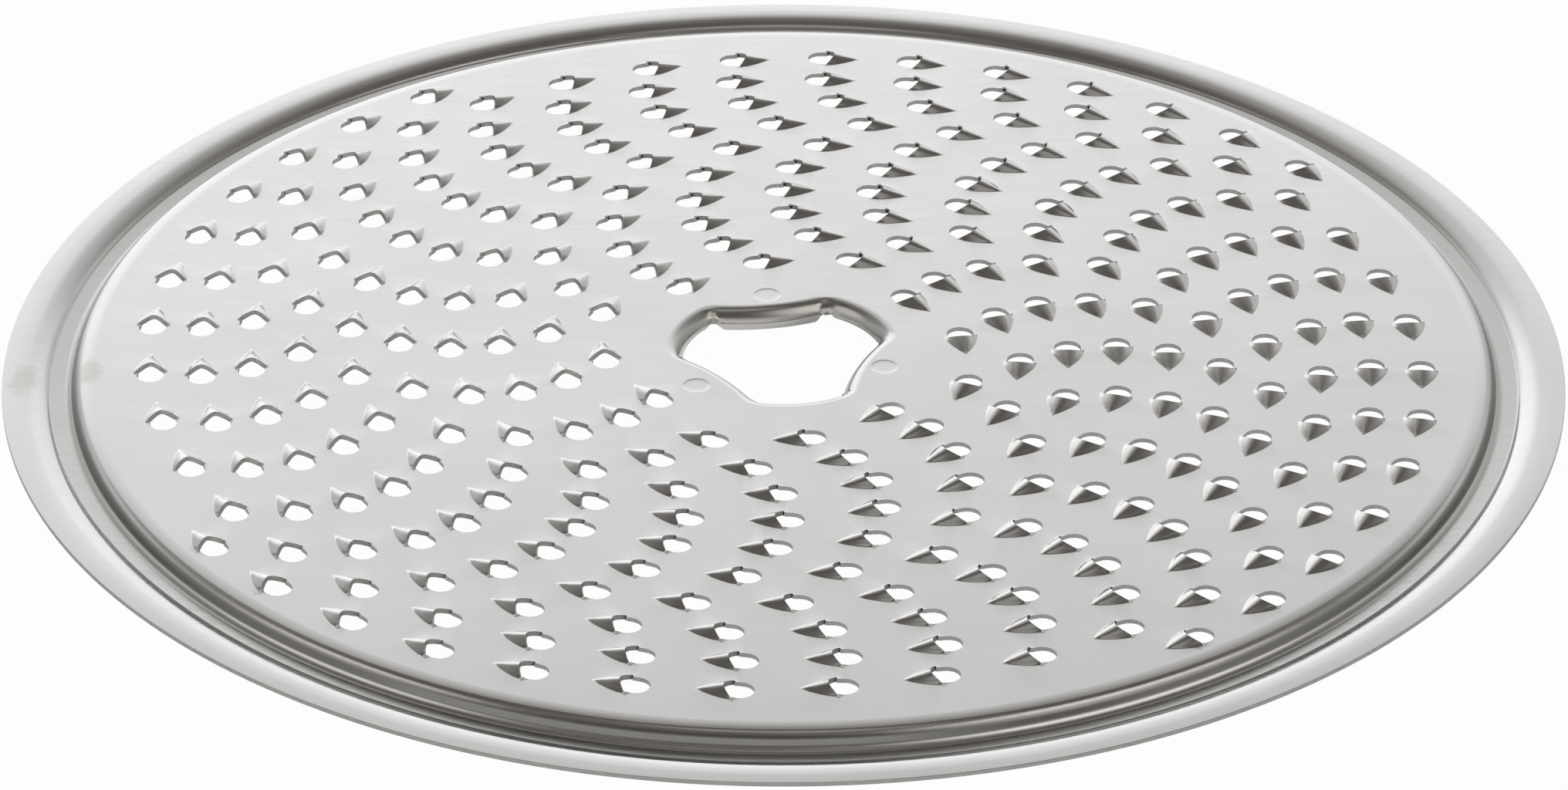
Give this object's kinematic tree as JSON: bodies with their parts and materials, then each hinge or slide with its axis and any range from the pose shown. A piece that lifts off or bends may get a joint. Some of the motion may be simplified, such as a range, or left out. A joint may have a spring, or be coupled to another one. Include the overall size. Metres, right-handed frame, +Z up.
{
  "type": "food processor disc",
  "caption": "Round steel food processor disc with spiral rows of punched rasp teeth on a raised plate, a grooved flanged rim and a lobed drive hole with a turned-down collar.",
  "frame": {"origin": "on the disc's axis, at the underside of the groove that the disc rests on", "axes": "+Z up along the axis, out of the toothed face; +X to the right and +Y away as first seen"},
  "size_m": [0.14, 0.14, 0.0025],
  "materials": {
    "steel": "satin stainless sheet, brighter where it is bent or punched"
  },
  "bodies": {
    "root": {"grating_disc": "steel"}
  },
  "joints": []
}
